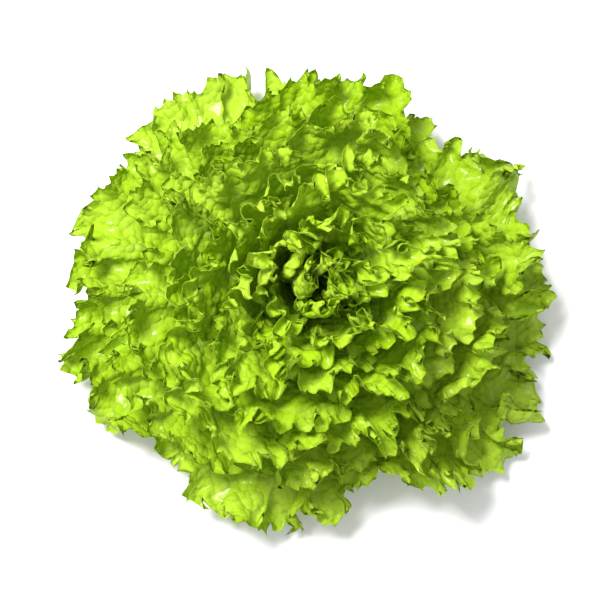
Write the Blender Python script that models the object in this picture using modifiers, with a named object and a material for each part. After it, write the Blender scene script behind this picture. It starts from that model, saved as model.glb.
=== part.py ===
"""A head of batavia lettuce, standing on the cut face of its stem.

The stem is a short turned cone. Each leaf is one thin blade with a thick rib, ruffles and a
toothed edge, and the leaves climb the stem in a spiral.

Every leaf lies on a shell of revolution. Shell 0 stands upright in the heart and shell 1
lies low at the outside. No two shells cross, and all of them end on a dome. A leaf's
ruffles move it between the shells. They are measured in layers, the room that one leaf
has, and they fall off to its sides, where its neighbours come near, so leaves stay clear.

Metres, +Z up, origin at the centre of the stem's cut face.
"""

import math

import bmesh
import bpy
import numpy as np

# The head
LEAF_COUNT = 50
LAYERS = LEAF_COUNT - 1
FIRST_MIDDLE_LEAF = 16
FIRST_HEART_LEAF = 33
TURN_PER_LEAF = math.pi * (3 - math.sqrt(5))
FIRST_LEAF_ANGLE = math.radians(200)
ANGLE_SPREAD = 0.03
SEED = 14

# The dome that the shells end on
DOME_RADIUS_HEART = 0.006
DOME_RADIUS_OUTSIDE = 0.146
DOME_HEIGHT_HEART = 0.138
DOME_HEIGHT_OUTSIDE = 0.020
DOME_FLATNESS = 1.9
HEART_DIP = 0.024
HEART_DIP_SHARPNESS = 6

# Where the leaves leave the stem, and which way their roots and edges point
ROOT_RADIUS_HEART = 0.0042
ROOT_RADIUS_OUTSIDE = 0.0185
ROOT_HEIGHT_HEART = 0.054
ROOT_HEIGHT_OUTSIDE = 0.012
ROOT_SLOPE_HEART = math.radians(89)
ROOT_SLOPE_OUTSIDE = math.radians(14)
EDGE_SLOPE_HEART = math.radians(88)
EDGE_SLOPE_OUTSIDE = math.radians(0)
EDGE_SLOPE_CURVE_CALM = 1.3
EDGE_SLOPE_CURVE_RUFFLED = 7.0
BEND = 0.40

# The blade
ROOT_HALF_SPAN = math.radians(26)
BLADE_HALF_SPAN_HEART = math.radians(42)
BLADE_HALF_SPAN_OUTSIDE = math.radians(38)
HALF_SPAN_CURVE = 0.5
BLADE_STARTS = 0.30
SIDE_LENGTH = 0.60
ROUNDNESS = 2.3
SHORTEST_REACH_HEART = 0.84
SHORTEST_REACH_OUTSIDE = 0.99
LONGEST_REACH = 1.05
LOBES = ((5.3, 0.03), (9.1, 0.015))
EDGE_THICKNESS = 0.0007
RIB_THICKNESS_HEART = 0.0009
RIB_THICKNESS_OUTSIDE = 0.0028
RIB_HALF_WIDTH = 0.22
RIB_TAPER = 1.4
ROOT_COLLAR = 0.12
ROOT_COLLAR_THICKNESS = 0.6
TOOTH_DEPTH = 0.03

# The ruffles: their strength in layers, and how many half spans out they fade to nothing
RUFFLE_HEART = 0.2
RUFFLE_OUTSIDE = 3.3
RUFFLE_GROWTH = 0.5
RUFFLE_FADE = 1.45
RUFFLE_START = 0.38
RUFFLE_FLARE = 2.4
RUFFLE_PHASE = math.pi / 4
RUFFLE_UNEVENNESS = 0.18
RUFFLE_CURL = 0.27
CALM_ANGLE = math.radians(150)
CALM_SHARE = 0.22
WAVES_HEART = 2.4
WAVES_OUTSIDE = 5.4
COLUMNS_PER_WAVE = 6
WANDER = 0.065
SLOW_WAVE = 4.1

# The lean of the whole head, its slow warp, and the quicker one of its outside
LEAN = (0.011, -0.008)
WARP = 0.006
WARP_WAVE = 0.125
WARP_RADIUS = 0.09
WARP_SLANT = 0.6
WARP_PHASES = (1.1, 0.3, 2.0)
CRUMPLE = 0.0042
CRUMPLE_WAVE = 0.075
CRUMPLE_SLANT = 0.7
CRUMPLE_PHASES = (0.4, 2.6, 1.5)
CRUMPLE_STARTS = 0.70

# The stem
CUT_RADIUS = 0.0150
CUT_ROUNDING = 0.0012
FOOT_HEIGHT = 0.0066
STEM_TIP_HEIGHT = 0.0016
STEM_GAP_HEART = 0.0010
STEM_GAP_OUTSIDE = 0.0022
STEM_SIDES = 32

# Blade rows from the root to the edge: how far out, and their share of the edge's columns
BLADE_ROWS = ((0.32, 1 / 6), (0.60, 1 / 2), (0.81, 1), (1.0, 1))
HEART_ROWS = ((0.22, 1 / 6), (0.50, 1 / 2), (0.78, 1), (1.0, 1))
ROOT_SPACES = 4

LEAF_GREENS = {
    "outer_leaf": (0.24, 0.42, 0.012),
    "middle_leaf": (0.30, 0.50, 0.02),
    "heart_leaf": (0.36, 0.56, 0.04),
}
LEAF_ROUGHNESS = 0.42
STEM_COLOUR = (0.62, 0.66, 0.36)
STEM_ROUGHNESS = 0.5


def blend(first, last, share):
    return first + (last - first) * share


def power(shell, exponent):
    return shell * np.abs(shell) ** (exponent - 1)


def smooth_step(low, high, value):
    x = np.clip((value - low) / (high - low), 0.0, 1.0)
    return x * x * (3 - 2 * x)


def shell_point(shell, along, calm):
    """Radius and height of the shells at a share of the way from root to edge. Calm ends lie flatter."""
    shell = np.broadcast_to(shell, along.shape)
    root = np.array([
        blend(ROOT_RADIUS_HEART, ROOT_RADIUS_OUTSIDE, shell),
        blend(ROOT_HEIGHT_HEART, ROOT_HEIGHT_OUTSIDE, shell),
    ])
    dip = HEART_DIP * (1 - np.clip(shell, 0, 1)) ** HEART_DIP_SHARPNESS
    edge = np.array([
        blend(DOME_RADIUS_HEART, DOME_RADIUS_OUTSIDE, shell),
        blend(DOME_HEIGHT_HEART, DOME_HEIGHT_OUTSIDE, power(shell, DOME_FLATNESS)) - dip,
    ])
    root_slope = blend(ROOT_SLOPE_HEART, ROOT_SLOPE_OUTSIDE, shell)
    curve = blend(EDGE_SLOPE_CURVE_RUFFLED, EDGE_SLOPE_CURVE_CALM, calm)
    edge_slope = blend(EDGE_SLOPE_HEART, EDGE_SLOPE_OUTSIDE, power(shell, curve))
    reach = BEND * np.hypot(*(edge - root))
    out = root + reach * np.array([np.cos(root_slope), np.sin(root_slope)])
    back = edge - reach * np.array([np.cos(edge_slope), np.sin(edge_slope)])
    left = 1 - along
    return left**3 * root + 3 * left**2 * along * out + 3 * left * along**2 * back + along**3 * edge


def crumple(points):
    """Shifts the outside of the head to and fro. Neighbouring leaves move together."""
    x, y, z = points.T
    height = (z - DOME_HEIGHT_OUTSIDE) / (DOME_HEIGHT_HEART - DOME_HEIGHT_OUTSIDE)
    outside = smooth_step(CRUMPLE_STARTS, 1, np.hypot(np.hypot(x, y) / DOME_RADIUS_OUTSIDE, height))
    moved = points.copy()
    for axis, phase in enumerate(CRUMPLE_PHASES):
        others = moved[:, (axis + 1) % 3] + CRUMPLE_SLANT * moved[:, (axis + 2) % 3]
        moved[:, axis] += CRUMPLE * outside * np.sin(2 * math.pi / CRUMPLE_WAVE * others + phase)
    return moved


def lean_and_warp(points):
    """Leans the head and bends it slowly, so that it isn't perfectly round."""
    x, y, z = points.T
    wave = 2 * math.pi / WARP_WAVE
    rise = smooth_step(ROOT_HEIGHT_HEART, DOME_HEIGHT_HEART, z)
    spread = smooth_step(CUT_RADIUS, WARP_RADIUS, np.hypot(x, y))
    return np.stack([
        x + LEAN[0] * rise + WARP * spread * np.sin(wave * y + WARP_PHASES[0]),
        y + LEAN[1] * rise + WARP * spread * np.sin(wave * x + WARP_PHASES[1]),
        z + WARP * spread * rise * np.sin(wave * (x + WARP_SLANT * y) + WARP_PHASES[2]),
    ], axis=1)


class Leaf:
    """One leaf's place in the spiral and what sets it apart. Number 0 is the outermost."""

    def __init__(self, number):
        draw = np.random.default_rng(SEED + number)
        if number >= FIRST_HEART_LEAF:
            self.kind, first = "heart_leaf", FIRST_HEART_LEAF
        elif number >= FIRST_MIDDLE_LEAF:
            self.kind, first = "middle_leaf", FIRST_MIDDLE_LEAF
        else:
            self.kind, first = "outer_leaf", 0
        self.name = f"{self.kind}_{number - first + 1:02d}"
        self.shell = 1 - number / LAYERS
        self.waves = round(blend(WAVES_HEART, WAVES_OUTSIDE, self.shell))
        self.angle = FIRST_LEAF_ANGLE + number * TURN_PER_LEAF + draw.uniform(-ANGLE_SPREAD, ANGLE_SPREAD)
        self.half_span = blend(BLADE_HALF_SPAN_HEART, BLADE_HALF_SPAN_OUTSIDE, self.shell**HALF_SPAN_CURVE)
        self.rib_thickness = blend(RIB_THICKNESS_HEART, RIB_THICKNESS_OUTSIDE, self.shell)
        self.ruffle = blend(RUFFLE_HEART, RUFFLE_OUTSIDE, self.shell**RUFFLE_GROWTH)
        self.curl = RUFFLE_CURL * self.ruffle / RUFFLE_OUTSIDE / self.waves
        shortest = blend(SHORTEST_REACH_HEART, SHORTEST_REACH_OUTSIDE, self.shell**2)
        self.reach = draw.uniform(shortest, LONGEST_REACH)
        self.phases = draw.uniform(0, 2 * math.pi, 4)

    def outline(self, across):
        """How far the edge is from the root, as a share of the leaf's length."""
        lobes = sum(
            depth * np.sin(wave * across + phase)
            for (wave, depth), phase in zip(LOBES, self.phases)
        )
        rounded = np.cos(math.pi / 2 * np.abs(across) ** ROUNDNESS)
        return SIDE_LENGTH + (1 - SIDE_LENGTH) * rounded + lobes

    def points(self, across, out, trim):
        """Points of the blade. across is -1 to 1, out is 0 at the root and 1 at the edge."""
        wave = math.pi * self.waves * (across + 1) + RUFFLE_PHASE
        ruffled = np.clip((out - RUFFLE_START) / (1 - RUFFLE_START), 0, 1) ** RUFFLE_FLARE
        wander = WANDER * np.sin(SLOW_WAVE * across + self.phases[2])
        curl = self.curl * ruffled * np.sin(2 * wave)
        across = across + (wander - curl) * (1 - across**2)
        along = out * trim * self.reach * self.outline(across)
        turn = across * blend(ROOT_HALF_SPAN, self.half_span, smooth_step(0.0, BLADE_STARTS, along))
        unevenness = 1 - RUFFLE_UNEVENNESS * (1 + np.sin(SLOW_WAVE * across + self.phases[3]))
        angle = self.angle + turn
        calm = (1 + np.cos(angle - CALM_ANGLE)) / 2
        fade = 1 - np.abs(turn) / self.half_span / RUFFLE_FADE
        strength = self.ruffle * unevenness * fade * (1 - CALM_SHARE * calm)
        shell = self.shell + strength / LAYERS * ruffled * np.sin(wave)
        radius, height = shell_point(shell, along, calm)
        points = np.stack([radius * np.cos(angle), radius * np.sin(angle), height], axis=1)
        return lean_and_warp(crumple(points))

    def thickness(self, across, out):
        rib = np.exp(-((across / RIB_HALF_WIDTH) ** 2)) * (1 - out) ** RIB_TAPER
        collar = ROOT_COLLAR_THICKNESS * np.clip(1 - out / ROOT_COLLAR, 0, 1)
        return EDGE_THICKNESS + (self.rib_thickness - EDGE_THICKNESS) * np.maximum(rib, collar)


def blade_grid(leaf):
    """Across, out and edge trim of each blade point, and the number of the first point of each row."""
    columns = COLUMNS_PER_WAVE * leaf.waves
    outer_rows = HEART_ROWS if leaf.kind == "heart_leaf" else BLADE_ROWS
    rows = [(0.0, ROOT_SPACES), *((share, round(part * columns)) for share, part in outer_rows)]
    across, out, trim, starts = [], [], [], []
    for share, spaces in rows:
        starts.append(len(across))
        for step in range(spaces + 1):
            across.append(2 * step / spaces - 1)
            out.append(share)
            notch = share == 1.0 and step % 2 == 1
            trim.append(1 - TOOTH_DEPTH if notch else 1.0)
    return np.array(across), np.array(out), np.array(trim), starts


def stitch(lower, upper):
    """Triangles between two rows of points that need not have the same number of points."""
    triangles, i, j = [], 0, 0
    while i < len(lower) - 1 or j < len(upper) - 1:
        lower_share = (i + 0.5) / (len(lower) - 1)
        upper_share = (j + 0.5) / (len(upper) - 1)
        if j == len(upper) - 1 or (i < len(lower) - 1 and lower_share < upper_share):
            triangles.append((lower[i], lower[i + 1], upper[j]))
            i += 1
        else:
            triangles.append((lower[i], upper[j + 1], upper[j]))
            j += 1
    return triangles


def finish(name, colour, roughness):
    material = bpy.data.materials.new(name)
    material.use_nodes = True
    shader = material.node_tree.nodes["Principled BSDF"]
    shader.inputs["Base Color"].default_value = (*colour, 1)
    shader.inputs["Roughness"].default_value = roughness
    shader.inputs["Metallic"].default_value = 0.0
    return material


def add_object(name, mesh, material, collection):
    mesh.materials.append(material)
    thing = bpy.data.objects.new(name, mesh)
    collection.objects.link(thing)
    return thing


def make_leaf(leaf, material, collection):
    """A blade as an open surface, with Solidify for its thickness."""
    across, out, trim, starts = blade_grid(leaf)
    sheet = bmesh.new()
    corners = [sheet.verts.new(point) for point in leaf.points(across, out, trim)]
    ends = [*starts[1:], len(corners)]
    rows = [corners[start:end] for start, end in zip(starts, ends)]
    for lower, upper in zip(rows, rows[1:]):
        for triangle in stitch(lower, upper):
            sheet.faces.new(triangle)
    mesh = bpy.data.meshes.new(leaf.name)
    sheet.to_mesh(mesh)
    sheet.free()
    mesh.shade_smooth()
    blade = add_object(leaf.name, mesh, material, collection)
    thickness = leaf.thickness(across, out)
    group = blade.vertex_groups.new(name="thickness")
    for index, share in enumerate(thickness / thickness.max()):
        group.add([index], float(share), "REPLACE")
    solid = blade.modifiers.new("Thickness", "SOLIDIFY")
    solid.thickness = float(thickness.max())
    solid.offset = 0.0
    solid.vertex_group = group.name
    solid.thickness_vertex_group = 0.0
    return blade


def make_stem(material, collection):
    """The cut stem, turned. Its cone runs inside the leaves' roots."""
    cone_top = (ROOT_RADIUS_HEART - STEM_GAP_HEART, ROOT_HEIGHT_HEART)
    cone_foot = (ROOT_RADIUS_OUTSIDE - STEM_GAP_OUTSIDE, ROOT_HEIGHT_OUTSIDE)
    profile = [
        (0.0, ROOT_HEIGHT_HEART + STEM_TIP_HEIGHT),
        cone_top,
        cone_foot,
        (CUT_RADIUS, FOOT_HEIGHT),
        (CUT_RADIUS, CUT_ROUNDING),
        (CUT_RADIUS - CUT_ROUNDING, 0.0),
        (0.0, 0.0),
    ]
    mesh = bpy.data.meshes.new("stem")
    mesh.from_pydata([(r, 0, z) for r, z in profile], [(i, i + 1) for i in range(len(profile) - 1)], [])
    stem = add_object("stem", mesh, material, collection)
    turn = stem.modifiers.new("Turn", "SCREW")
    turn.steps = turn.render_steps = STEM_SIDES
    turn.use_merge_vertices = True
    turn.merge_threshold = 0.0001
    turn.use_smooth_shade = True
    return stem


def main():
    for old in list(bpy.data.objects):
        bpy.data.objects.remove(old, do_unlink=True)
    head = bpy.data.collections.new("batavia_lettuce")
    bpy.context.scene.collection.children.link(head)
    greens = {kind: finish(kind, colour, LEAF_ROUGHNESS) for kind, colour in LEAF_GREENS.items()}
    make_stem(finish("stem_flesh", STEM_COLOUR, STEM_ROUGHNESS), head)
    for number in range(LEAF_COUNT):
        leaf = Leaf(number)
        make_leaf(leaf, greens[leaf.kind], head)


main()
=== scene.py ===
import itertools
import math

import bmesh
import bpy
import numpy as np
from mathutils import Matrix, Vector


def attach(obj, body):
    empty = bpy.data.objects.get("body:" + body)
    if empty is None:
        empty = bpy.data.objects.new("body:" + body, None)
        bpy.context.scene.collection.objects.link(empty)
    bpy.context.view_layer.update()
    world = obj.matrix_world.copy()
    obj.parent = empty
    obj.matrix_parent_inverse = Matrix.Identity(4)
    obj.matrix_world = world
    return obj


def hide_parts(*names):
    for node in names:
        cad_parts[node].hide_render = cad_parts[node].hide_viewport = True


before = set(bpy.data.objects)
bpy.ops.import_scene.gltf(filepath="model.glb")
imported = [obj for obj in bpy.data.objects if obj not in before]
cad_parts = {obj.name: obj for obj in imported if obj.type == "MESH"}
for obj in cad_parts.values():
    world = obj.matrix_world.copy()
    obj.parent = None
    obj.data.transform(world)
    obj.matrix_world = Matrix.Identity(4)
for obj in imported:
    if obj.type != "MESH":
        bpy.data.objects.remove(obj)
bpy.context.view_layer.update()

# The head, as the frame's leaves were made
LEAF_COUNT = 50
LAYERS = LEAF_COUNT - 1
FIRST_MIDDLE_LEAF = 16
FIRST_HEART_LEAF = 33
TURN_PER_LEAF = math.pi * (3 - math.sqrt(5))
FIRST_LEAF_ANGLE = math.radians(200)
ANGLE_SPREAD = 0.03
SEED = 14

# The dome that the shells end on
DOME_RADIUS_HEART = 0.006
DOME_RADIUS_OUTSIDE = 0.146
DOME_HEIGHT_HEART = 0.138
DOME_HEIGHT_OUTSIDE = 0.020
DOME_FLATNESS = 1.9
HEART_DIP = 0.024
HEART_DIP_SHARPNESS = 6

# Where the leaves leave the stem, and which way their roots and edges point
ROOT_RADIUS_HEART = 0.0042
ROOT_RADIUS_OUTSIDE = 0.0185
ROOT_HEIGHT_HEART = 0.054
ROOT_HEIGHT_OUTSIDE = 0.012
ROOT_SLOPE_HEART = math.radians(89)
ROOT_SLOPE_OUTSIDE = math.radians(14)
EDGE_SLOPE_HEART = math.radians(88)
EDGE_SLOPE_OUTSIDE = math.radians(0)
EDGE_SLOPE_CURVE_CALM = 1.3
EDGE_SLOPE_CURVE_RUFFLED = 7.0
BEND = 0.40

# The blade
ROOT_HALF_SPAN = math.radians(26)
BLADE_HALF_SPAN_HEART = math.radians(42)
BLADE_HALF_SPAN_OUTSIDE = math.radians(38)
HALF_SPAN_CURVE = 0.5
BLADE_STARTS = 0.30
SIDE_LENGTH = 0.60
ROUNDNESS = 2.3
SHORTEST_REACH_HEART = 0.84
SHORTEST_REACH_OUTSIDE = 0.99
LONGEST_REACH = 1.05
LOBES = ((5.3, 0.03), (9.1, 0.015))
RIB_THICKNESS_HEART = 0.0009
RIB_THICKNESS_OUTSIDE = 0.0028
RIB_HALF_WIDTH = 0.22
RIB_TAPER = 1.4
NOTCH_DEPTH = 0.01
NOTCHES_PER_WAVE = 3
NOTCH_STARTS = 0.6

# The ruffles: their strength in layers, and how many half spans out they fade to nothing
RUFFLE_HEART = 0.2
RUFFLE_OUTSIDE = 3.3
RUFFLE_GROWTH = 0.5
RUFFLE_FADE = 1.45
RUFFLE_START = 0.38
RUFFLE_FLARE = 2.4
RUFFLE_PHASE = math.pi / 4
RUFFLE_UNEVENNESS = 0.18
RUFFLE_CURL = 0.27
CALM_ANGLE = math.radians(150)
CALM_SHARE = 0.22
WAVES_HEART = 2.4
WAVES_OUTSIDE = 5.4
WANDER = 0.065
SLOW_WAVE = 4.1
CREST_SLANT = 1.5

# The lean of the whole head, its slow warp, and the quicker one of its outside
LEAN = (0.011, -0.008)
WARP = 0.006
WARP_WAVE = 0.125
WARP_RADIUS = 0.09
WARP_SLANT = 0.6
WARP_PHASES = (1.1, 0.3, 2.0)
CRUMPLE = 0.0042
CRUMPLE_WAVE = 0.075
CRUMPLE_SLANT = 0.7
CRUMPLE_PHASES = (0.4, 2.6, 1.5)
CRUMPLE_STARTS = 0.70

# Finer crumples that only the fine blades have: size and wavelength
FINE_CRUMPLES = ((0.0022, 0.024), (0.0040, 0.042))

# Layers by which single fine leaves droop or lift, more on the calm side, and the heart's farther reach
DROOP_LAYERS = 1.25
CALM_DROOP = 1.4
HEART_RISE = 0.14

# Heights above the ceiling fade into the depth over it, and those near the ground into the depth there
CEILING = 0.124
CEILING_DEPTH = 0.011
GROUND = 0.009
GROUND_DEPTH = 0.006

# The stem: radius and height down its side from the tip, and how uneven it is
CUT_RADIUS = 0.0150
STEM_PROFILE = (
    (0.0, 0.0556),
    (0.0032, 0.0540),
    (0.0163, 0.0120),
    (CUT_RADIUS, 0.0066),
    (CUT_RADIUS, 0.0012),
    (0.0138, 0.0),
    (0.0, 0.0),
)
STEM_ROWS = 60
STEM_COLUMNS = 90
STEM_UNEVENNESS = 0.0004
STEM_RIDGES = ((9, 300), (5, -700))
BROWNED_HEIGHT = 0.0022

# The fine blades
COLUMNS_PER_WAVE = {"outer_leaf": 52, "middle_leaf": 40, "heart_leaf": 30}
ROOT_ROWS = 4
EDGE_ROWS = 25
EDGE_ROWS_START = 0.42
BLADE_THICKNESS = 0.00055
EDGE_THICKNESS = 0.00018
EDGE_THINS = 0.93
ROOT_REACH = 0.0030
DETAIL_SEED = 400

# Teeth along the edge, in the heart and outside
TOOTH_WIDTHS_HEART = (0.0030, 0.0060)
TOOTH_WIDTHS_OUTSIDE = (0.0050, 0.0110)
TOOTH_DEPTH_HEART = 0.0028
TOOTH_DEPTH_OUTSIDE = 0.0043
SHALLOWEST_TOOTH = 0.3
TOOTH_REACH = 0.014

# Small frills along the edge and the lip there, which bends in on the calm side. Pairs are shell, layers
FRILL_LAYERS = ((0.0, 2.0), (0.3, 2.2), (0.75, 2.0), (1.0, 0.9))
FRILL_REACH = 0.018
CALM_FRILL_SHARE = 0.5
LIP = ((0.0, -0.4), (0.1, 0.0), (0.3, 0.9), (1.0, 0.9))
CALM_LIP = -2.4
FRILL_WAVE_HEART = 0.0110
FRILL_WAVE_OUTSIDE = 0.0220
FRILL_QUICKER = 0.58
QUICK_FRILL_SHARE = 0.6
SWELL_MIDDLE = 0.65
SWELL_VARIES = 0.35
SWELL_SLOWER = 0.31

# Blisters of the blade, small and large: how wide and how high
BLISTERS = ((0.0075, 0.0011), (0.0170, 0.0024))
BLISTER_CREASE = 0.75
BLISTER_MIDDLE = 0.6
BLISTERS_START = 0.15
BLISTERS_FULL = 0.5
HEART_BLISTERS = 1.6

# The view of the photograph
CAMERA_ELEVATION = math.radians(82)
CAMERA_DISTANCE = 0.81
CAMERA_LENS = 85
CAMERA_TARGET = (-0.003, -0.009, 0.06)
ROOM_STRENGTH = 0.80
LAMP_PLACE = (-0.46, 0.40, 1.14)
LAMP_SIZE = 0.42
LAMP_ENERGY = 28
FLOOR_HALF = 3.0
FLOOR_COLOUR = (0.86, 0.86, 0.86, 1)


def blend(first, last, share):
    return first + (last - first) * share


def power(shell, exponent):
    return shell * np.abs(shell) ** (exponent - 1)


def smooth_step(low, high, value):
    x = np.clip((value - low) / (high - low), 0.0, 1.0)
    return x * x * (3 - 2 * x)


def shell_point(shell, along, calm):
    """Radius and height of the shells at a share of the way from root to edge. Calm ends lie flatter."""
    shell = np.broadcast_to(shell, along.shape)
    root = np.array([
        blend(ROOT_RADIUS_HEART, ROOT_RADIUS_OUTSIDE, shell),
        blend(ROOT_HEIGHT_HEART, ROOT_HEIGHT_OUTSIDE, shell),
    ])
    dip = HEART_DIP * (1 - np.clip(shell, 0, 1)) ** HEART_DIP_SHARPNESS
    edge = np.array([
        blend(DOME_RADIUS_HEART, DOME_RADIUS_OUTSIDE, shell),
        blend(DOME_HEIGHT_HEART, DOME_HEIGHT_OUTSIDE, power(shell, DOME_FLATNESS)) - dip,
    ])
    root_slope = blend(ROOT_SLOPE_HEART, ROOT_SLOPE_OUTSIDE, shell)
    curve = blend(EDGE_SLOPE_CURVE_RUFFLED, EDGE_SLOPE_CURVE_CALM, calm)
    edge_slope = blend(EDGE_SLOPE_HEART, EDGE_SLOPE_OUTSIDE, power(shell, curve))
    reach = BEND * np.hypot(*(edge - root))
    out = root + reach * np.array([np.cos(root_slope), np.sin(root_slope)])
    back = edge - reach * np.array([np.cos(edge_slope), np.sin(edge_slope)])
    left = 1 - along
    return left**3 * root + 3 * left**2 * along * out + 3 * left * along**2 * back + along**3 * edge


def calm_at(angle):
    """1 on the calm side of the head, 0 on the ruffled side."""
    return (1 + np.cos(angle - CALM_ANGLE)) / 2


def crumple(points, size, wavelength):
    """Shifts the outside of the head to and fro. Neighbouring leaves move together."""
    x, y, z = np.moveaxis(points, -1, 0)
    height = (z - DOME_HEIGHT_OUTSIDE) / (DOME_HEIGHT_HEART - DOME_HEIGHT_OUTSIDE)
    outside = smooth_step(CRUMPLE_STARTS, 1, np.hypot(np.hypot(x, y) / DOME_RADIUS_OUTSIDE, height))
    moved = points.copy()
    for axis, phase in enumerate(CRUMPLE_PHASES):
        others = moved[..., (axis + 1) % 3] + CRUMPLE_SLANT * moved[..., (axis + 2) % 3]
        moved[..., axis] += size * outside * np.sin(2 * math.pi / wavelength * others + phase)
    return moved


def lean_and_warp(points):
    """Leans the head and bends it slowly, so that it isn't perfectly round."""
    x, y, z = np.moveaxis(points, -1, 0)
    wave = 2 * math.pi / WARP_WAVE
    rise = smooth_step(ROOT_HEIGHT_HEART, DOME_HEIGHT_HEART, z)
    spread = smooth_step(CUT_RADIUS, WARP_RADIUS, np.hypot(x, y))
    return np.stack([
        x + LEAN[0] * rise + WARP * spread * np.sin(wave * y + WARP_PHASES[0]),
        y + LEAN[1] * rise + WARP * spread * np.sin(wave * x + WARP_PHASES[1]),
        z + WARP * spread * rise * np.sin(wave * (x + WARP_SLANT * y) + WARP_PHASES[2]),
    ], axis=-1)


def excess(value, depth):
    """How far a positive value goes beyond what fades out at a depth."""
    value = np.maximum(value, 0)
    return value - depth * np.tanh(value / depth)


def keep_between(points):
    """Presses down what would stand out of the top of the head, and lifts what would touch the ground."""
    x, y, z = np.moveaxis(points, -1, 0)
    z = z - excess(z - CEILING, CEILING_DEPTH) + excess(GROUND - z, GROUND_DEPTH)
    return np.stack([x, y, z], axis=-1)


def hashed(corner, seed):
    """A number from 0 to 1 that looks random, for each corner of a cubic grid."""
    i, j, k = corner
    value = np.sin(i * 127.1 + j * 311.7 + k * 74.7 + seed * 19.3) * 43758.5453
    return value - np.floor(value)


def mounds(points, size):
    """How high on its mound each point is: 0 on the crease between two mounds, 1 on top."""
    places = np.moveaxis(points / size, -1, 0)
    far_off = 9.0
    first, second = np.full((2, *places[0].shape), far_off)
    for step in itertools.product((-1, 0, 1), repeat=3):
        corner = np.floor(places) + np.reshape(step, (3, 1, 1))
        centre = corner + [hashed(corner, seed) for seed in range(3)]
        distance = np.linalg.norm(centre - places, axis=0)
        second = np.minimum(second, np.maximum(first, distance))
        first = np.minimum(first, distance)
    return smooth_step(0, BLISTER_CREASE, second - first)


class Leaf:
    """One leaf's place in the spiral and what sets it apart. Number 0 is the outermost."""

    def __init__(self, number):
        draw = np.random.default_rng(SEED + number)
        if number >= FIRST_HEART_LEAF:
            self.kind, first = "heart_leaf", FIRST_HEART_LEAF
        elif number >= FIRST_MIDDLE_LEAF:
            self.kind, first = "middle_leaf", FIRST_MIDDLE_LEAF
        else:
            self.kind, first = "outer_leaf", 0
        self.name = f"{self.kind}_{number - first + 1:02d}"
        self.shell = 1 - number / LAYERS
        self.waves = round(blend(WAVES_HEART, WAVES_OUTSIDE, self.shell))
        self.angle = FIRST_LEAF_ANGLE + number * TURN_PER_LEAF + draw.uniform(-ANGLE_SPREAD, ANGLE_SPREAD)
        self.half_span = blend(BLADE_HALF_SPAN_HEART, BLADE_HALF_SPAN_OUTSIDE, self.shell**HALF_SPAN_CURVE)
        self.rib_thickness = blend(RIB_THICKNESS_HEART, RIB_THICKNESS_OUTSIDE, self.shell)
        self.ruffle = blend(RUFFLE_HEART, RUFFLE_OUTSIDE, self.shell**RUFFLE_GROWTH)
        self.curl = RUFFLE_CURL * self.ruffle / RUFFLE_OUTSIDE / self.waves
        shortest = blend(SHORTEST_REACH_HEART, SHORTEST_REACH_OUTSIDE, self.shell**2)
        self.reach = draw.uniform(shortest, LONGEST_REACH)
        self.phases = draw.uniform(0, 2 * math.pi, 4)
        self.draw = np.random.default_rng(DETAIL_SEED + 10 * number)
        self.droop = DROOP_LAYERS * self.draw.uniform(-1, 1) * self.shell
        self.reach *= 1 + HEART_RISE * (1 - self.shell) ** HEART_DIP_SHARPNESS

    def outline(self, across):
        """How far the edge is from the root, as a share of the leaf's length."""
        lobes = sum(
            depth * np.sin(wave * across + phase)
            for (wave, depth), phase in zip(LOBES, self.phases)
        )
        rounded = np.cos(math.pi / 2 * np.abs(across) ** ROUNDNESS)
        return SIDE_LENGTH + (1 - SIDE_LENGTH) * rounded + lobes

    def points(self, across, out, trim=1.0, frill=0.0):
        """Points of the blade. across is -1 to 1, out is 0 at the root and 1 at the edge."""
        slant = CREST_SLANT * np.sin(math.pi * (1 - out) + self.phases[2])
        wave = math.pi * self.waves * (across + 1) + RUFFLE_PHASE + slant
        ruffled = np.clip((out - RUFFLE_START) / (1 - RUFFLE_START), 0, 1) ** RUFFLE_FLARE
        wander = WANDER * np.sin(SLOW_WAVE * across + self.phases[2])
        curl = self.curl * ruffled * np.sin(2 * wave)
        across = across + (wander - curl) * (1 - across**2)
        along = out * trim * self.reach * self.outline(across)
        turn = across * blend(ROOT_HALF_SPAN, self.half_span, smooth_step(0.0, BLADE_STARTS, along))
        unevenness = 1 - RUFFLE_UNEVENNESS * (1 + np.sin(SLOW_WAVE * across + self.phases[3]))
        angle = self.angle + turn
        calm = calm_at(angle)
        fade = 1 - np.abs(turn) / self.half_span / RUFFLE_FADE
        strength = self.ruffle * unevenness * fade * (1 - CALM_SHARE * calm)
        frill = frill * (1 - CALM_FRILL_SHARE * calm)
        droop = self.droop * (1 + CALM_DROOP * calm)
        layers = (strength * np.sin(wave) + droop) * ruffled + frill
        shell = self.shell + layers / LAYERS
        radius, height = shell_point(shell, along, calm)
        radius = radius - ROOT_REACH * np.clip(1 - along / BLADE_STARTS, 0, 1)
        points = np.stack([radius * np.cos(angle), radius * np.sin(angle), height], axis=-1)
        for size, wavelength in FINE_CRUMPLES:
            points = crumple(points, size, wavelength)
        return keep_between(lean_and_warp(crumple(points, CRUMPLE, CRUMPLE_WAVE)))

    def rib(self, across, out):
        """How much thicker than the blade the leaf is along its middle."""
        bulge = np.exp(-((across / RIB_HALF_WIDTH) ** 2)) * (1 - out) ** RIB_TAPER
        return (self.rib_thickness - BLADE_THICKNESS) * bulge


def edge_line(leaf, columns):
    """How far along the leaf's edge each column is, in metres."""
    across = np.linspace(-1, 1, columns)
    steps = np.linalg.norm(np.diff(leaf.points(across, np.ones(columns)), axis=0), axis=1)
    return np.concatenate([[0.0], np.cumsum(steps)])


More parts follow.
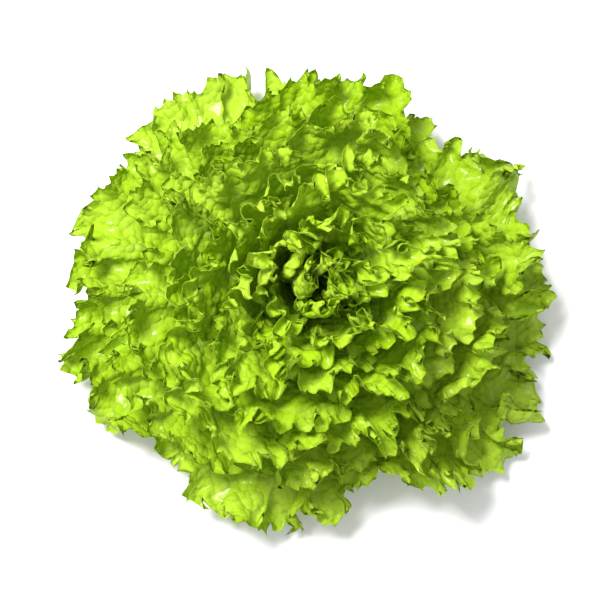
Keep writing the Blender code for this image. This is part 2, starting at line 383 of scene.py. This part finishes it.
def tooth_line(leaf, edge):
    """How deep the edge is cut at each column: 0 at the tip of a tooth, up to 1 between two teeth."""
    shortest, longest = (
        blend(heart, outside, leaf.shell)
        for heart, outside in zip(TOOTH_WIDTHS_HEART, TOOTH_WIDTHS_OUTSIDE)
    )
    column, columns = 0, [0]
    while column < len(edge) - 1:
        place = edge[column] + leaf.draw.uniform(shortest, longest) / 2
        column = max(column + 1, int(np.searchsorted(edge, place)))
        columns.append(column)
    index = np.arange(len(edge))
    share = np.interp(index, columns, np.arange(len(columns)) % 2)
    depth = np.interp(index, columns, leaf.draw.uniform(SHALLOWEST_TOOTH, 1.0, len(columns)))
    return depth * (1 - (1 - share) ** 2)


def frill_line(leaf, edge, calm):
    """The small frills at each column, on the lip of the edge."""
    slow = 2 * math.pi * edge / blend(FRILL_WAVE_HEART, FRILL_WAVE_OUTSIDE, leaf.shell)
    phases = leaf.draw.uniform(0, 2 * math.pi, 3)
    swell = SWELL_MIDDLE + SWELL_VARIES * np.sin(SWELL_SLOWER * slow + phases[2])
    lip = np.interp(leaf.shell, *zip(*LIP)) + CALM_LIP * leaf.shell * calm
    quick = QUICK_FRILL_SHARE * np.sin(slow / FRILL_QUICKER + phases[1])
    return lip + swell * (np.sin(slow + phases[0]) + quick)


def arc_lengths(points):
    """Distance of each point from the middle column along its row, and from the root along its column."""
    steps = np.linalg.norm(np.diff(points, axis=1), axis=2)
    u = np.concatenate([np.zeros((len(points), 1)), np.cumsum(steps, axis=1)], axis=1)
    u -= u[:, u.shape[1] // 2, None]
    steps = np.linalg.norm(np.diff(points, axis=0), axis=2)
    v = np.concatenate([np.zeros((1, points.shape[1])), np.cumsum(steps, axis=0)], axis=0)
    return u, v


def normals_of(points):
    """Unit normals of a grid of points, on the side that faces the sky or the heart."""
    out = np.gradient(points, axis=0)
    around = np.gradient(points, axis=1)
    normal = np.cross(out, around)
    return normal / np.maximum(np.linalg.norm(normal, axis=2, keepdims=True), 1e-12)


def fine_blade(leaf):
    """Points of the two faces of a blade, and what its finish needs to know about them."""
    columns = COLUMNS_PER_WAVE[leaf.kind] * leaf.waves + 1
    outs = np.concatenate([
        np.linspace(0, EDGE_ROWS_START, ROOT_ROWS, endpoint=False),
        np.linspace(EDGE_ROWS_START, 1, EDGE_ROWS),
    ])
    across, out = np.meshgrid(np.linspace(-1, 1, columns), outs)
    edge = edge_line(leaf, columns)
    half_calm = 0.5
    root, tip = shell_point(leaf.shell, np.array([0.0, 1.0]), half_calm).T
    length = leaf.reach * math.dist(root, tip)
    notch = 1 - np.abs((across + 1) * leaf.waves * NOTCHES_PER_WAVE % 2 - 1)
    tooth_depth = blend(TOOTH_DEPTH_HEART, TOOTH_DEPTH_OUTSIDE, leaf.shell) / length
    teeth = tooth_depth * tooth_line(leaf, edge) * smooth_step(1 - TOOTH_REACH / length, 1, out)
    trim = 1 - NOTCH_DEPTH * notch * smooth_step(NOTCH_STARTS, 1, out) - teeth
    layers = np.interp(leaf.shell, *zip(*FRILL_LAYERS))
    margin = np.clip(1 - (1 - out) * length / FRILL_REACH, 0, 1)
    calm = calm_at(leaf.angle + leaf.half_span * across[0])
    frill = layers * frill_line(leaf, edge, calm) * margin**2
    middle = leaf.points(across, out, trim, frill)
    u, v = arc_lengths(middle)
    blisters = [mounds(middle, size) for size, height in BLISTERS]
    relief = sum(height * (mound - BLISTER_MIDDLE) for mound, (size, height) in zip(blisters, BLISTERS))
    relief = relief * blend(HEART_BLISTERS, 1.0, leaf.shell) * smooth_step(BLISTERS_START, BLISTERS_FULL, out)
    middle = middle + relief[..., None] * normals_of(middle)
    normal = normals_of(middle)
    half = blend(BLADE_THICKNESS, EDGE_THICKNESS, smooth_step(EDGE_THINS, 1, out)) / 2
    upper = middle + half[..., None] * normal
    lower = middle - (half + leaf.rib(across, out))[..., None] * normal
    facts = {"out": out, "crease": 1 - blisters[0]}
    return upper, lower, u, v, facts


def grid_faces(rows, columns, first):
    """Quads of a grid of points, numbered row by row from first."""
    row, column = np.meshgrid(np.arange(rows - 1), np.arange(columns - 1), indexing="ij")
    corner = (first + row * columns + column).ravel()
    return np.stack([corner, corner + columns, corner + columns + 1, corner + 1], axis=1)


def rim_faces(rows, columns):
    """Quads that close the gap between the upper and the lower face all round."""
    index = np.arange(rows * columns).reshape(rows, columns)
    loop = np.concatenate([index[0, :-1], index[:-1, -1], index[-1, :0:-1], index[:0:-1, 0]])
    ahead = np.roll(loop, -1)
    below = rows * columns
    return np.stack([loop, ahead, ahead + below, loop + below], axis=1)


def make_blade(leaf, finish):
    """The fine blade of one leaf: a thin closed solid that stands for the frame's leaf."""
    upper, lower, u, v, facts = fine_blade(leaf)
    rows, columns = u.shape
    points = np.concatenate([upper.reshape(-1, 3), lower.reshape(-1, 3)])
    faces = np.concatenate([
        grid_faces(rows, columns, 0),
        grid_faces(rows, columns, rows * columns)[:, ::-1],
        rim_faces(rows, columns)[:, ::-1],
    ])
    mesh = bpy.data.meshes.new(f"{leaf.name}_blade")
    mesh.from_pydata(points.tolist(), [], faces.tolist())
    mesh.shade_smooth()
    facts = {name: np.tile(value.ravel(), 2) for name, value in facts.items()}
    facts["underside"] = np.repeat([0.0, 1.0], rows * columns)
    facts["tone"] = np.full(len(points), leaf.draw.uniform())
    for name, value in facts.items():
        attribute = mesh.attributes.new(name, "FLOAT", "POINT")
        attribute.data.foreach_set("value", value.astype(np.float32))
    corners = np.empty(len(mesh.loops), dtype=np.int32)
    mesh.loops.foreach_get("vertex_index", corners)
    flat = np.tile(np.stack([u.ravel(), v.ravel()], axis=1), (2, 1))
    layer = mesh.uv_layers.new(name="blade")
    layer.uv.foreach_set("vector", flat[corners].astype(np.float32).ravel())
    mesh.materials.append(finish)
    blade = bpy.data.objects.new(f"{leaf.name}_blade", mesh)
    bpy.context.scene.collection.objects.link(blade)
    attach(blade, "root")
    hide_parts(leaf.name)


def make_stem(finish):
    """The cut stem, turned and a little uneven, with grooves where leaves came off."""
    radius, height = np.array(STEM_PROFILE).T
    walked = np.concatenate([[0.0], np.cumsum(np.hypot(np.diff(radius), np.diff(height)))])
    places = np.linspace(0, walked[-1], STEM_ROWS)
    angle, radius = np.meshgrid(np.linspace(0, 2 * math.pi, STEM_COLUMNS), np.interp(places, walked, radius))
    height = np.broadcast_to(np.interp(places, walked, height)[:, None], angle.shape)
    ridges = sum(np.sin(turns * angle + climb * height) for turns, climb in STEM_RIDGES)
    radius = radius * (1 - STEM_UNEVENNESS / CUT_RADIUS * (2 + ridges))
    points = np.stack([radius * np.cos(angle), radius * np.sin(angle), height], axis=-1).reshape(-1, 3)
    mesh = bpy.data.meshes.new("stem_turned")
    mesh.from_pydata(points.tolist(), [], grid_faces(STEM_ROWS, STEM_COLUMNS, 0).tolist())
    shape = bmesh.new()
    shape.from_mesh(mesh)
    bmesh.ops.remove_doubles(shape, verts=shape.verts, dist=0.00001)
    bmesh.ops.recalc_face_normals(shape, faces=shape.faces)
    shape.to_mesh(mesh)
    shape.free()
    mesh.shade_smooth()
    mesh.materials.append(finish)
    stem = bpy.data.objects.new("stem_turned", mesh)
    bpy.context.scene.collection.objects.link(stem)
    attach(stem, "root")
    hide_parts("stem")


# Finishes


def tint(red, green, blue):
    """A colour as a screen shows it, 0 to 255, in the linear values of a shader."""
    screen = np.array([red, green, blue]) / 255
    linear = np.where(screen <= 0.04045, screen / 12.92, ((screen + 0.055) / 1.055) ** 2.4)
    return (*linear.tolist(), 1.0)


class Wire:
    """One output of a node. Arithmetic on it adds Math nodes to its finish."""

    def __init__(self, finish, output):
        self.finish = finish
        self.output = output

    def maths(self, operation, *values):
        return self.finish.node("ShaderNodeMath", {"operation": operation}, dict(enumerate(values)))

    def __add__(self, other):
        return self.maths("ADD", self, other)

    def __sub__(self, other):
        return self.maths("SUBTRACT", self, other)

    def __mul__(self, other):
        return self.maths("MULTIPLY", self, other)

    def __truediv__(self, other):
        return self.maths("DIVIDE", self, other)

    def __radd__(self, other):
        return self.maths("ADD", other, self)

    def __rsub__(self, other):
        return self.maths("SUBTRACT", other, self)

    def size(self):
        return self.maths("ABSOLUTE", self)

    def ping_pong(self, scale):
        return self.maths("PINGPONG", self, scale)


class Finish:
    """A material and the nodes that make it."""

    def __init__(self, name):
        self.material = bpy.data.materials.new(name)
        self.material.use_nodes = True
        self.tree = self.material.node_tree
        self.shader = self.tree.nodes["Principled BSDF"]
        self.out = self.tree.nodes["Material Output"]

    def node(self, kind, settings, sockets, output=0):
        """Adds a node: its settings first, then its sockets' values or wires. Gives one output."""
        made = self.tree.nodes.new(kind)
        for name, value in settings.items():
            setattr(made, name, value)
        for name, value in sockets.items():
            self.feed(made.inputs[name], value)
        return Wire(self, made.outputs[output])

    def feed(self, socket, value):
        if isinstance(value, Wire):
            self.tree.links.new(value.output, socket)
        else:
            socket.default_value = value

    def set(self, sockets):
        for name, value in sockets.items():
            self.feed(self.shader.inputs[name], value)

    def fact(self, name):
        """A number that the mesh holds at each point."""
        return self.node("ShaderNodeAttribute", {"attribute_name": name}, {}, "Fac")

    def step(self, value, low, high, start=0.0, end=1.0):
        """Goes smoothly from start to end as value goes from low to high."""
        settings = {"interpolation_type": "SMOOTHSTEP", "clamp": True}
        sockets = {"Value": value, "From Min": low, "From Max": high, "To Min": start, "To Max": end}
        return self.node("ShaderNodeMapRange", settings, sockets, "Result")

    def mix(self, share, first, second):
        """A mix of two colours."""
        return self.node("ShaderNodeMix", {"data_type": "RGBA"}, {0: share, 6: first, 7: second}, 2)

    def cover(self, shader, share):
        """Mixes another shader into the surface, by a share that is the same all over."""
        surface = Wire(self, self.shader.outputs[0])
        both = self.node("ShaderNodeMixShader", {}, {0: share, 1: surface, 2: shader})
        self.feed(self.out.inputs["Surface"], both)

    def noise(self, vector, scale, detail=2.0):
        return self.node("ShaderNodeTexNoise", {}, {"Vector": vector, "Scale": scale, "Detail": detail})

    def domes(self, vector, scale):
        """Small round mounds side by side."""
        sockets = {"Vector": vector, "Scale": scale}
        distance = self.node("ShaderNodeTexVoronoi", {}, sockets, "Distance")
        return 1 - distance * distance

    def bump(self, height, distance):
        return self.node("ShaderNodeBump", {}, {"Height": height, "Distance": distance})


# The light tints are partly the leaf's own paler green and partly painted sheen: they are paler and bluer
# than the leaf's green, spread in random patches
LEAF_COLOURS = {
    "outer_leaf": {"deep": tint(146, 184, 0), "light": tint(166, 199, 44)},
    "middle_leaf": {"deep": tint(150, 189, 0), "light": tint(170, 203, 46)},
    "heart_leaf": {"deep": tint(154, 194, 0), "light": tint(178, 210, 50)},
}
VEIN_COLOUR = tint(198, 226, 88)
RIB_COLOUR = tint(206, 224, 130)
UNDERSIDE_COLOUR = tint(196, 220, 90)
# Painted highlight: a paler colour for the rim, standing in for the light that the blade's thin edge catches
RIM_HIGHLIGHT_COLOUR = tint(206, 230, 70)
THROUGH_COLOUR = tint(202, 228, 14)
THROUGH_SHARE = 0.25

# The leaf's finish: scales of its noises, where its side veins, rib and pale root lie, and where the painted
# highlight along the rim starts
SLOW_SCALE = 34.0
GRAIN_SCALE = 620.0
DOME_SCALE = 230.0
BUMP_HEIGHT = 0.0017
LATERAL_SPACING = 0.017
LATERAL_SLANT = 0.75
LATERAL_WANDER = 1.6
LATERAL_WIDTHS = (0.10, 0.03)
LATERAL_NARROWS = 0.05
RIB_WIDTHS = (0.0015, 0.0055)
RIB_NARROWS = 0.005
PALE_ROOT = 0.5
RIM_HIGHLIGHT_STARTS = 0.985


def leaf_finish(kind):
    """A waxy leaf: green that varies, with paler patches that are partly painted sheen, paler veins and rib,
    a painted highlight along the rim, small bumps, light through the blade.
    """
    finish = Finish(f"{kind}_waxy_green")
    colours = LEAF_COLOURS[kind]
    flat = finish.node("ShaderNodeUVMap", {"uv_map": "blade"}, {})
    u, v = (finish.node("ShaderNodeSeparateXYZ", {}, {0: flat}, axis) for axis in ("X", "Y"))
    out, crease = finish.fact("out"), finish.fact("crease")
    tone, underside = finish.fact("tone"), finish.fact("underside")
    place = finish.node("ShaderNodeTexCoord", {}, {}, "Object")
    slow = finish.noise(place, SLOW_SCALE)
    grain = finish.noise(place, GRAIN_SCALE, 1.0)
    domes = finish.domes(place, DOME_SCALE)
    side = u.size()
    lateral = ((v - side * LATERAL_SLANT) / LATERAL_SPACING + slow * LATERAL_WANDER).ping_pong(0.5)
    lateral_width = finish.step(side, 0.0, LATERAL_NARROWS, *LATERAL_WIDTHS)
    lateral = finish.step(lateral - lateral_width, 0.0, 0.05, 1.0, 0.0)
    rib = finish.step(side + out * RIB_NARROWS, *RIB_WIDTHS, 1.0, 0.0)
    # Deep and light greens mixed by noise and each leaf's tone: random tone variation, with the light tint
    # partly a painted sheen
    green = finish.mix(finish.step(slow * 0.6 + tone * 0.45, 0.15, 0.85), colours["deep"], colours["light"])
    green = finish.mix(crease * 0.12, green, VEIN_COLOUR)
    green = finish.mix(lateral * 0.22, green, VEIN_COLOUR)
    # Painted highlight: the last stretch of the blade towards its rim is mixed toward a paler colour, as if
    # the edge caught the light
    green = finish.mix(finish.step(out, RIM_HIGHLIGHT_STARTS, 1.0, 0.0, 0.15), green, RIM_HIGHLIGHT_COLOUR)
    green = finish.mix(underside * 0.2, green, UNDERSIDE_COLOUR)
    green = finish.mix(finish.step(out, PALE_ROOT, 0.1, 0.0, 0.6), green, RIB_COLOUR)
    green = finish.mix(rib * 0.6, green, RIB_COLOUR)
    height = domes + grain * 0.15
    finish.set({
        "Base Color": green,
        "Roughness": 0.30 + grain * 0.2,
        "Specular IOR Level": 0.0,
        "Coat Weight": 0.36,
        "Coat Roughness": 0.17,
        "Normal": finish.bump(height, BUMP_HEIGHT),
    })
    through = finish.node("ShaderNodeBsdfTranslucent", {}, {"Color": THROUGH_COLOUR})
    finish.cover(through, THROUGH_SHARE)
    return finish.material


def stem_finish():
    """Pale moist flesh, browned at the cut."""
    finish = Finish("cut_stem_flesh")
    place = finish.node("ShaderNodeTexCoord", {}, {}, "Object")
    height = finish.node("ShaderNodeSeparateXYZ", {}, {0: place}, "Z")
    grain = finish.noise(place, 420.0)
    flesh = finish.mix(grain, tint(176, 190, 120), tint(214, 222, 168))
    browned = finish.step(height + grain * 0.002, 0.0, BROWNED_HEIGHT, 0.8, 0.0)
    colour = finish.mix(browned, flesh, tint(132, 92, 50))
    finish.set({"Base Color": colour, "Roughness": 0.5, "Normal": finish.bump(grain, 0.0006)})
    return finish.material


def aim(thing, place, target):
    thing.location = place
    thing.rotation_mode = "QUATERNION"
    thing.rotation_quaternion = (Vector(target) - Vector(place)).to_track_quat("-Z", "Y")


def make_camera():
    lens = bpy.data.cameras.new("camera")
    lens.lens = CAMERA_LENS
    lens.clip_start, lens.clip_end = 0.05, 20
    camera = bpy.data.objects.new("camera", lens)
    bpy.context.scene.collection.objects.link(camera)
    back = Vector((0, -math.cos(CAMERA_ELEVATION), math.sin(CAMERA_ELEVATION)))
    aim(camera, Vector(CAMERA_TARGET) + CAMERA_DISTANCE * back, CAMERA_TARGET)
    bpy.context.scene.camera = camera


def make_lights():
    world = bpy.data.worlds.new("white_room")
    world.use_nodes = True
    background = world.node_tree.nodes["Background"]
    background.inputs["Color"].default_value = (1, 1, 1, 1)
    background.inputs["Strength"].default_value = ROOM_STRENGTH
    bpy.context.scene.world = world
    lamp = bpy.data.lights.new("window_light", "AREA")
    lamp.shape = "SQUARE"
    lamp.size = LAMP_SIZE
    lamp.energy = LAMP_ENERGY
    lamp_object = bpy.data.objects.new("window_light", lamp)
    bpy.context.scene.collection.objects.link(lamp_object)
    aim(lamp_object, LAMP_PLACE, CAMERA_TARGET)


def make_floor():
    mesh = bpy.data.meshes.new("floor")
    half = FLOOR_HALF
    corners = [(-half, -half, 0), (half, -half, 0), (half, half, 0), (-half, half, 0)]
    mesh.from_pydata(corners, [], [(0, 1, 2, 3)])
    floor = bpy.data.objects.new("floor", mesh)
    bpy.context.scene.collection.objects.link(floor)
    finish = Finish("pale_floor")
    finish.set({"Base Color": FLOOR_COLOUR, "Roughness": 0.6})
    mesh.materials.append(finish.material)


make_camera()
make_lights()
make_floor()
finishes = {kind: leaf_finish(kind) for kind in LEAF_COLOURS}
make_stem(stem_finish())
for number in range(LEAF_COUNT):
    leaf = Leaf(number)
    make_blade(leaf, finishes[leaf.kind])

bpy.context.scene.view_settings.view_transform = "Standard"
